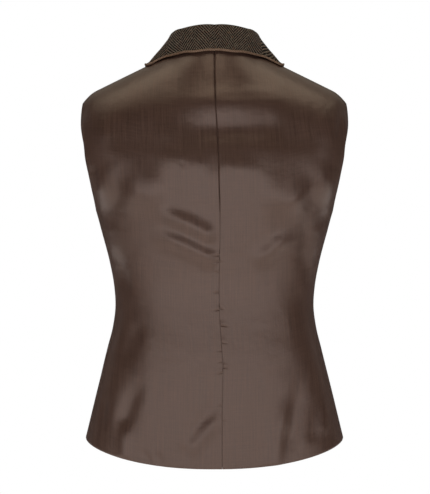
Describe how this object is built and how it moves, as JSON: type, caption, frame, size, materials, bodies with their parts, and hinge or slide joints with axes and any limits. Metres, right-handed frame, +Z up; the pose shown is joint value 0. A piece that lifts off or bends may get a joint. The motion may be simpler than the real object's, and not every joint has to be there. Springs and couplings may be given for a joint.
{
  "type": "waistcoat",
  "caption": "Fitted women's waistcoat standing hollow as worn: two-panel satin back, buttoned tweed fronts, open armholes and neck, and a turned-down tweed collar edged with piping.",
  "frame": {"origin": "middle of the neck base, level with the shoulder neck points, where the wearer's shoulders carry the garment", "axes": "+Z up, -Y towards the front of the garment, +X to the wearer's left"},
  "size_m": [0.3686, 0.2299, 0.6066],
  "materials": {
    "satin": "brown satin weave, soft sheen",
    "tweed": "dark brown herringbone wool, matt",
    "piping": "light brown satin binding, soft sheen",
    "button": "dark brown horn-like plastic, polished"
  },
  "bodies": {
    "root": {"back_left": "satin", "back_right": "satin", "front_left": "tweed", "front_right": "tweed", "collar": "tweed", "collar_piping": "piping", "button_1": "button", "button_2": "button", "button_3": "button", "button_4": "button"}
  },
  "joints": []
}
